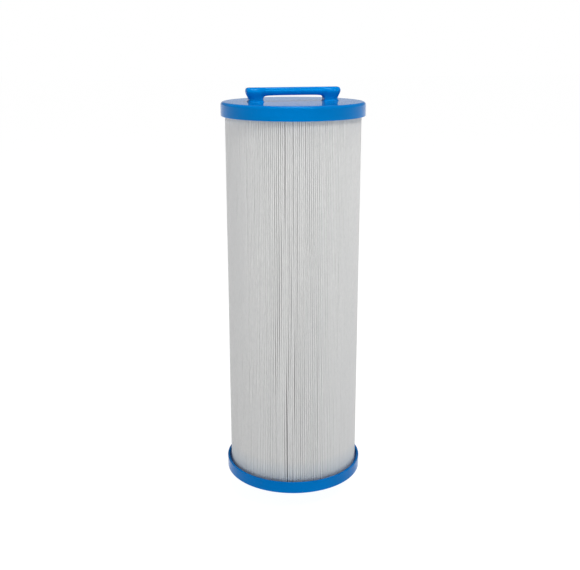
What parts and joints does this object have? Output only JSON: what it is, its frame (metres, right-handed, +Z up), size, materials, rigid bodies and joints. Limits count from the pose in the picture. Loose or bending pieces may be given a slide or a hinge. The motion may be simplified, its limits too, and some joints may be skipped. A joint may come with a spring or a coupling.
{
  "type": "pleated spa filter cartridge",
  "caption": "Tall round pleated water filter cartridge for a pool or spa, with a bar handle on its top cap and a threaded nipple below.",
  "frame": {"origin": "on the cartridge's axis, in the plane of the threaded nipple's lower end", "axes": "+Z up along the axis from the thread to the handle, X along the handle, Y across it"},
  "size_m": [0.125, 0.125, 0.3729],
  "materials": {
    "cap_blue": "moulded polyurethane, glossy, bright blue",
    "adapter_blue": "injection moulded, glossy, bright blue",
    "resin_blue": "cast resin, as poured",
    "core_white": "injection moulded, satin white",
    "media_white": "spunbonded polyester, folded into pleats",
    "seam_white": "hot melt bead, translucent white",
    "handle_blue": "moulded, glossy, bright blue"
  },
  "bodies": {
    "root": {"bottom_end_cap": "cap_blue", "thread_adapter": "adapter_blue", "bottom_potting": "resin_blue", "core_section_1": "core_white", "core_section_2": "core_white", "core_section_3": "core_white", "core_section_4": "core_white", "core_top_plug": "core_white", "pleated_media": "media_white", "media_seam_bead": "seam_white", "top_potting": "resin_blue", "top_end_cap": "cap_blue", "handle": "handle_blue"}
  },
  "joints": []
}
